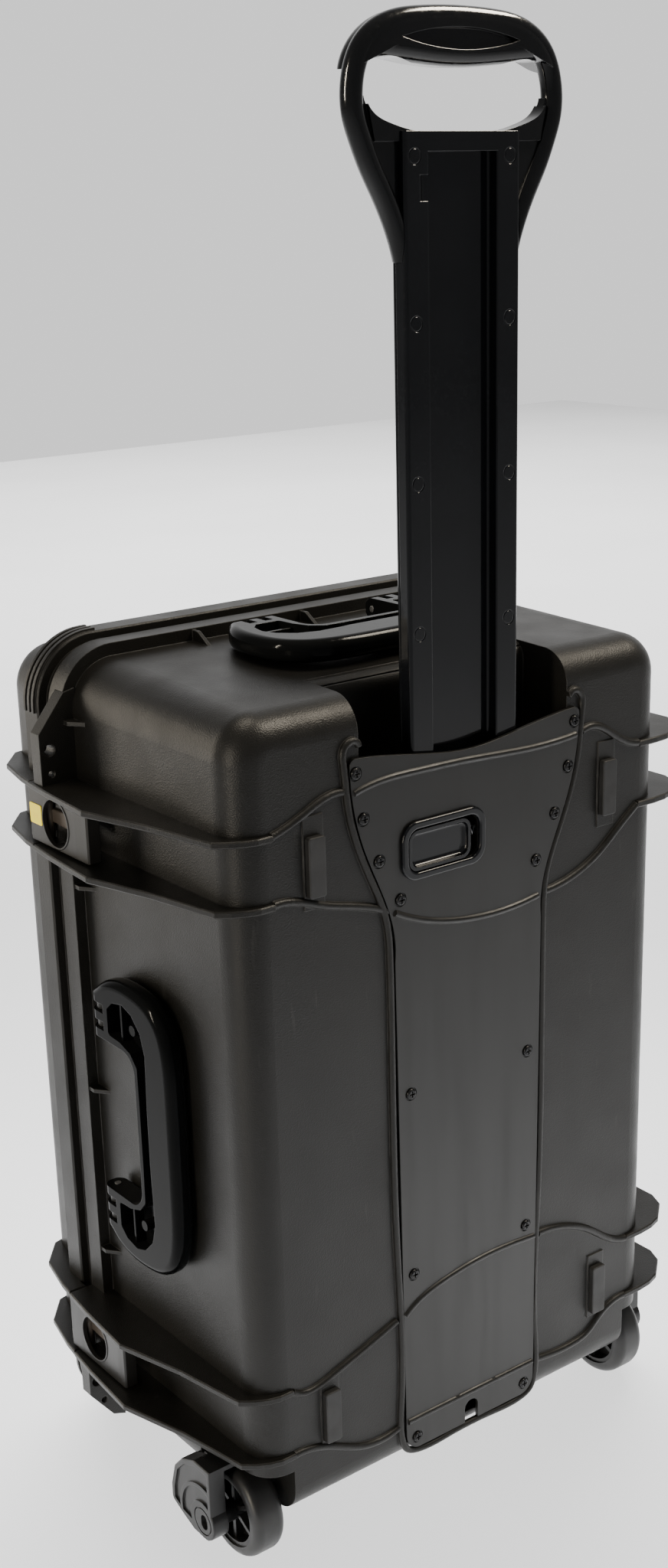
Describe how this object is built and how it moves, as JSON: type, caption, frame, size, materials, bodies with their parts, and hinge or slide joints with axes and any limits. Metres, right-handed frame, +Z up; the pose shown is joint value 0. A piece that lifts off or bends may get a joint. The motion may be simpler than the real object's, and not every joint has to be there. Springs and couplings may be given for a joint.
{
  "type": "rolling equipment case",
  "caption": "Hard-shell rolling case with a hinged lid, draw latches, folding carry handles and a telescoping pull handle.",
  "frame": {"origin": "centre of the footprint, on the floor under the wheels", "axes": "+X towards the latch side, +Y out of the back face with the pull handle, +Z up"},
  "size_m": [0.48, 0.311, 1.0935],
  "materials": {
    "shell": "fine pebble grain",
    "cover": "satin",
    "gloss_black": "glossy moulded",
    "latch_black": "semi-gloss",
    "trigger_brown": "satin",
    "tag_yellow": "printed label, plain",
    "screw_black": "black oxide, glossy",
    "pin_steel": "stainless",
    "seal_rubber": "matte",
    "pad_rubber": "matte",
    "wheel_hub": "satin",
    "tyre": "matte"
  },
  "bodies": {
    "case_base": {"base_shell": "shell", "trolley_cover": "cover", "cover_screws": "screw_black", "release_bezel": "gloss_black", "rest_pads": "pad_rubber", "upper_hinge_pin": "pin_steel", "lower_hinge_pin": "pin_steel", "side_handle_pins": "pin_steel", "top_handle_pins": "pin_steel", "rear_near_axle": "pin_steel", "rear_far_axle": "pin_steel", "rear_near_bracket": "wheel_hub", "rear_far_bracket": "wheel_hub", "release_spring": "pin_steel", "base_wings": "shell", "lock_webs": "shell"},
    "lid": {"lid_shell": "shell", "lid_seal": "seal_rubber", "upper_latch_pin": "pin_steel", "lower_latch_pin": "pin_steel", "front_near_axle": "pin_steel", "front_far_axle": "pin_steel", "lid_wings": "shell"},
    "upper_latch": {"upper_latch_lever": "latch_black", "upper_trigger_pin": "pin_steel", "latch_tag": "tag_yellow"},
    "lower_latch": {"lower_latch_lever": "latch_black", "lower_trigger_pin": "pin_steel"},
    "upper_trigger": {"upper_latch_trigger": "trigger_brown"},
    "lower_trigger": {"lower_latch_trigger": "trigger_brown"},
    "trolley": {"pull_tube": "gloss_black", "pull_grip": "latch_black", "tube_foot": "latch_black"},
    "release": {"release_button": "gloss_black", "lock_pawl": "latch_black"},
    "side_handle": {"side_handle": "gloss_black"},
    "top_handle": {"top_handle": "gloss_black"},
    "rear_near_wheel": {"rear_near_wheel_hub": "wheel_hub", "rear_near_tyre": "tyre"},
    "rear_far_wheel": {"rear_far_wheel_hub": "wheel_hub", "rear_far_tyre": "tyre"},
    "front_near_wheel": {"front_near_wheel_hub": "wheel_hub", "front_near_tyre": "tyre"},
    "front_far_wheel": {"front_far_wheel_hub": "wheel_hub", "front_far_tyre": "tyre"}
  },
  "joints": [
    {"name": "lid_hinge", "type": "hinge", "parent": "case_base", "child": "lid", "pos_m": [-0.2215, -0.0745, 0.35], "axis": [0, 0, -1], "range_deg": [0, 100]},
    {"name": "trolley_slide", "type": "slide", "parent": "case_base", "child": "trolley", "axis": [0, 0, 1], "range_m": [-0.438, 0]},
    {"name": "release_slide", "type": "slide", "parent": "case_base", "child": "release", "axis": [-1, 0, 0], "range_m": [0, 0.007], "stiffness_N_per_m": 300, "springref_m": -0.01, "deforming": ["release_spring"]},
    {"name": "side_handle_hinge", "type": "hinge", "parent": "case_base", "child": "side_handle", "pos_m": [0.21188, -0.0155, 0.333], "axis": [0, 0, -1], "range_deg": [0, 95]},
    {"name": "top_handle_hinge", "type": "hinge", "parent": "case_base", "child": "top_handle", "pos_m": [0, -0.0155, 0.67863], "axis": [1, 0, 0], "range_deg": [0, 95]},
    {"name": "upper_latch_pivot", "type": "hinge", "parent": "lid", "child": "upper_latch", "pos_m": [0.2205, -0.0845, 0.5569], "axis": [0, 0, -1], "range_deg": [0, 75]},
    {"name": "upper_trigger_pivot", "type": "hinge", "parent": "upper_latch", "child": "upper_trigger", "pos_m": [0.2205, -0.0635, 0.5569], "axis": [0, 0, 1], "range_deg": [0, 7], "stiffness_Nm_per_rad": 0.05, "springref_deg": -17.19},
    {"name": "lower_latch_pivot", "type": "hinge", "parent": "lid", "child": "lower_latch", "pos_m": [0.2205, -0.0845, 0.1253], "axis": [0, 0, -1], "range_deg": [0, 75]},
    {"name": "lower_trigger_pivot", "type": "hinge", "parent": "lower_latch", "child": "lower_trigger", "pos_m": [0.2205, -0.0635, 0.1253], "axis": [0, 0, 1], "range_deg": [0, 7], "stiffness_Nm_per_rad": 0.05, "springref_deg": -17.19},
    {"name": "rear_near_wheel_spin", "type": "hinge", "parent": "case_base", "child": "rear_near_wheel", "pos_m": [0.191, 0.1065, 0.03825], "axis": [1, 0, 0], "continuous": true},
    {"name": "rear_far_wheel_spin", "type": "hinge", "parent": "case_base", "child": "rear_far_wheel", "pos_m": [-0.191, 0.1065, 0.03825], "axis": [1, 0, 0], "continuous": true},
    {"name": "front_near_wheel_spin", "type": "hinge", "parent": "lid", "child": "front_near_wheel", "pos_m": [0.1565, -0.1165, 0.03825], "axis": [1, 0, 0], "continuous": true},
    {"name": "front_far_wheel_spin", "type": "hinge", "parent": "lid", "child": "front_far_wheel", "pos_m": [-0.1565, -0.1165, 0.03825], "axis": [1, 0, 0], "continuous": true}
  ]
}
